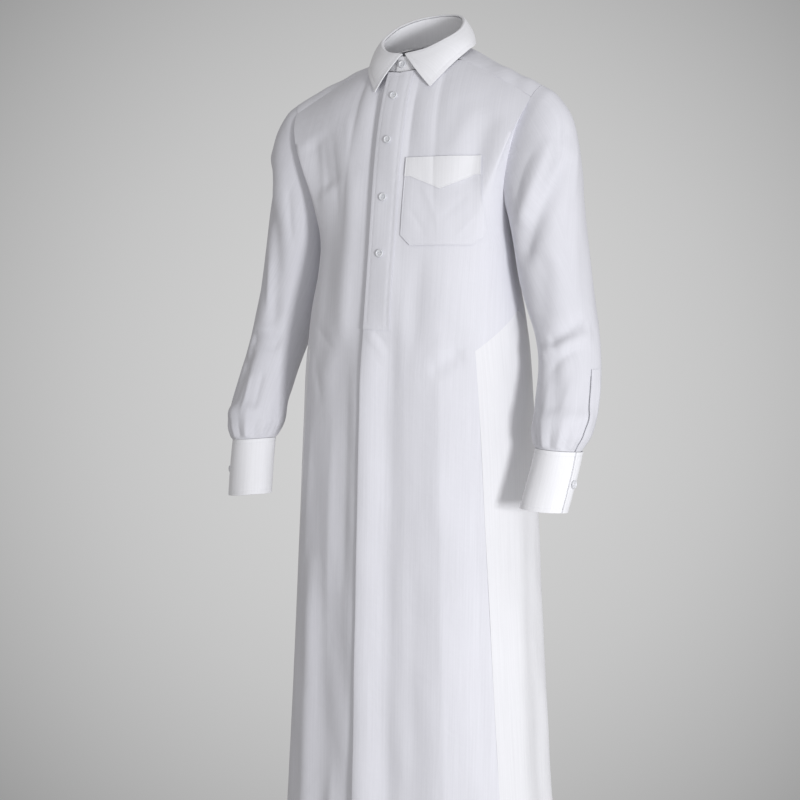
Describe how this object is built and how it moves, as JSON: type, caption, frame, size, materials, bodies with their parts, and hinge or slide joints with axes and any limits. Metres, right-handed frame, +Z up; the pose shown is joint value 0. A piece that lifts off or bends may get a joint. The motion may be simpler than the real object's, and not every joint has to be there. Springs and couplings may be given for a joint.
{
  "type": "thobe robe",
  "caption": "White ankle-length thobe robe with a pointed collar, half placket, chest pocket and buttoned cuffs, in its worn form.",
  "frame": {"origin": "on the body's axis level with the base of the neck, where the shoulders carry the robe", "axes": "+Z up, the front faces -Y, the wearer's left is +X"},
  "size_m": [0.6046, 0.3131, 1.4959],
  "materials": {
    "cloth": "matte",
    "buttons": "satin"
  },
  "bodies": {
    "root": {"front": "cloth", "back": "cloth", "side_gore_left": "cloth", "side_gore_right": "cloth", "yoke": "cloth", "sleeve_left": "cloth", "sleeve_right": "cloth", "sleeve_placket_left": "cloth", "sleeve_placket_right": "cloth", "cuff_left": "cloth", "cuff_right": "cloth", "collar_stand": "cloth", "collar": "cloth", "placket": "cloth", "placket_under": "cloth", "pocket": "cloth", "pocket_band": "cloth", "button_collar": "buttons", "button_1": "buttons", "button_2": "buttons", "button_3": "buttons", "button_4": "buttons", "button_cuff_left": "buttons", "button_cuff_right": "buttons"}
  },
  "joints": []
}
